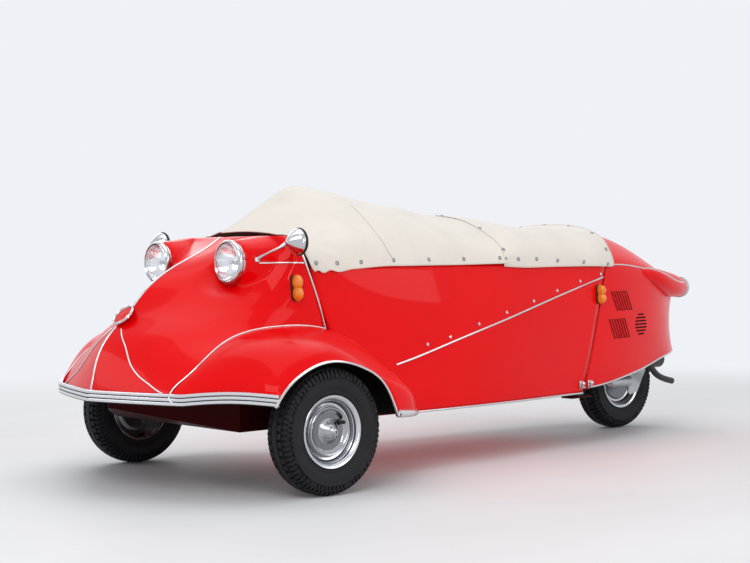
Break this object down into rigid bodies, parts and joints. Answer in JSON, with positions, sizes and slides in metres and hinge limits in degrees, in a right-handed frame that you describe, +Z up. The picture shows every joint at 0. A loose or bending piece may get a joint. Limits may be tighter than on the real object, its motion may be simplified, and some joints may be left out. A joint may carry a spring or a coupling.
{
  "type": "three-wheeled bubble car",
  "caption": "Narrow open three-wheeled microcar with tandem cockpit under a cream cover, round lamps, winged front mudguards, steerable front wheels and a lifting tail.",
  "frame": {"origin": "on the floor, under the middle of the car's bounding box", "axes": "-Y forwards, +X the car's left, +Z up"},
  "size_m": [1.2136, 2.8124, 0.9799],
  "materials": {
    "red_paint": "gloss signal red enamel",
    "canvas": "cream cotton canvas",
    "tyre": "black rubber, block tread",
    "wheel_silver": "silver enamel",
    "polished": "polished",
    "strip_aluminium": "brushed and ribbed",
    "clear_glass": "fluted lamp glass",
    "chrome": "polished",
    "lamp_red": "red lens in a bright ring",
    "amber": "amber lens",
    "cast_metal": "sand cast",
    "black_steel": "satin black"
  },
  "bodies": {
    "chassis": {"belly_pan": "red_paint", "bumper_strip": "strip_aluminium", "cabin_tub": "red_paint", "engine_block": "cast_metal", "exhaust": "black_steel", "fender_left": "red_paint", "fender_right": "red_paint", "front_axle": "black_steel", "front_indicator_left": "amber", "front_indicator_right": "amber", "headlamp_glass_left": "clear_glass", "headlamp_glass_right": "clear_glass", "headlamp_left": "chrome", "headlamp_right": "chrome", "hood_bag": "canvas", "main_frame": "black_steel", "mirror_left": "chrome", "mirror_right": "chrome", "nose_shell": "red_paint", "rear_indicator_left": "amber", "rear_indicator_right": "amber", "rear_mudguard": "black_steel", "swing_arm": "cast_metal", "tonneau_cover": "canvas"},
    "knuckle_left": {"knuckle_left": "black_steel"},
    "knuckle_right": {"knuckle_right": "black_steel"},
    "tie_rod_left": {"tie_rod_left": "black_steel"},
    "tie_rod_right": {"tie_rod_right": "black_steel"},
    "steering_column": {"steering_column": "black_steel"},
    "wheel_front_left": {"tyre_front_left": "tyre", "rim_front_left": "wheel_silver", "hubcap_front_left": "polished"},
    "wheel_front_right": {"tyre_front_right": "tyre", "rim_front_right": "wheel_silver", "hubcap_front_right": "polished"},
    "wheel_rear": {"tyre_rear": "tyre", "rim_rear": "wheel_silver"},
    "tail": {"tail_cover": "red_paint", "tail_lamp_left": "lamp_red", "tail_lamp_right": "lamp_red"}
  },
  "joints": [
    {"name": "steer_left", "type": "hinge", "parent": "chassis", "child": "knuckle_left", "pos_m": [0.475, -0.89, 0.198], "axis": [0, 0, 1], "range_deg": [-28, 28]},
    {"name": "steer_right", "type": "hinge", "parent": "chassis", "child": "knuckle_right", "pos_m": [-0.475, -0.89, 0.198], "axis": [0, 0, 1], "range_deg": [-28, 28]},
    {"name": "column_turn", "type": "hinge", "parent": "chassis", "child": "steering_column", "pos_m": [0, -0.935, 0.245], "axis": [0, 0, 1], "range_deg": [-28, 28]},
    {"name": "rod_left_pivot", "type": "hinge", "parent": "knuckle_left", "child": "tie_rod_left", "pos_m": [0.475, -0.795, 0.2584], "axis": [0, 0, 1], "range_deg": [-28, 28]},
    {"name": "rod_right_pivot", "type": "hinge", "parent": "knuckle_right", "child": "tie_rod_right", "pos_m": [-0.475, -0.795, 0.2748], "axis": [0, 0, 1], "range_deg": [-28, 28]},
    {"name": "spin_front_left", "type": "hinge", "parent": "knuckle_left", "child": "wheel_front_left", "pos_m": [0.54, -0.89, 0.198], "axis": [1, 0, 0], "continuous": true},
    {"name": "spin_front_right", "type": "hinge", "parent": "knuckle_right", "child": "wheel_front_right", "pos_m": [-0.54, -0.89, 0.198], "axis": [1, 0, 0], "continuous": true},
    {"name": "spin_rear", "type": "hinge", "parent": "chassis", "child": "wheel_rear", "pos_m": [0, 1.137, 0.198], "axis": [1, 0, 0], "continuous": true},
    {"name": "tail_lift", "type": "hinge", "parent": "chassis", "child": "tail", "pos_m": [0, 0.85, 0.806], "axis": [1, 0, 0], "range_deg": [0, 60]}
  ],
  "couplings": [
    {"joint": "steer_right", "follows": "steer_left", "ratio": 1},
    {"joint": "column_turn", "follows": "steer_left", "ratio": 1},
    {"joint": "rod_left_pivot", "follows": "steer_left", "ratio": -1},
    {"joint": "rod_right_pivot", "follows": "steer_left", "ratio": -1}
  ]
}
